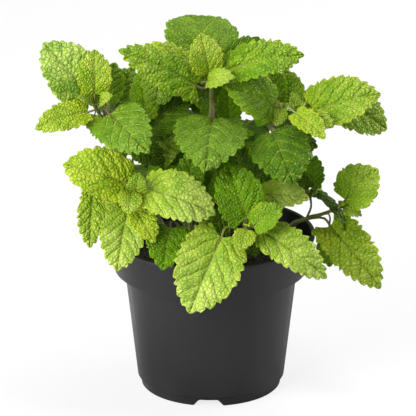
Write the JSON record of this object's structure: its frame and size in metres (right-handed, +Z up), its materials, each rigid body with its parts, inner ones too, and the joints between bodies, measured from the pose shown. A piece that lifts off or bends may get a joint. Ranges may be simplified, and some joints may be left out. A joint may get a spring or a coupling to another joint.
{
  "type": "potted herb",
  "caption": "Bushy herb with toothed, quilted leaves in opposite pairs on thin stems, growing in a round plastic nursery pot filled with soil.",
  "frame": {"origin": "on the pot's axis, on the surface that the pot stands on", "axes": "+Z up, the plant's height; the plant's front, as pictured, faces -Y; +X to the right seen from the front"},
  "size_m": [0.2, 0.1522, 0.2196],
  "materials": {
    "pot_plastic": "satin",
    "potting_soil": "matte",
    "foliage": "satin"
  },
  "bodies": {
    "root": {"pot": "pot_plastic", "soil": "potting_soil", "shoot_top_left": "foliage", "shoot_left": "foliage", "shoot_top": "foliage", "shoot_inner": "foliage", "shoot_right": "foliage", "shoot_top_right": "foliage", "shoot_front": "foliage", "shoot_front_left": "foliage", "shoot_low_right": "foliage", "shoot_back_right": "foliage", "shoot_back_left": "foliage", "shoot_far_left": "foliage", "shoot_middle": "foliage"}
  },
  "joints": []
}
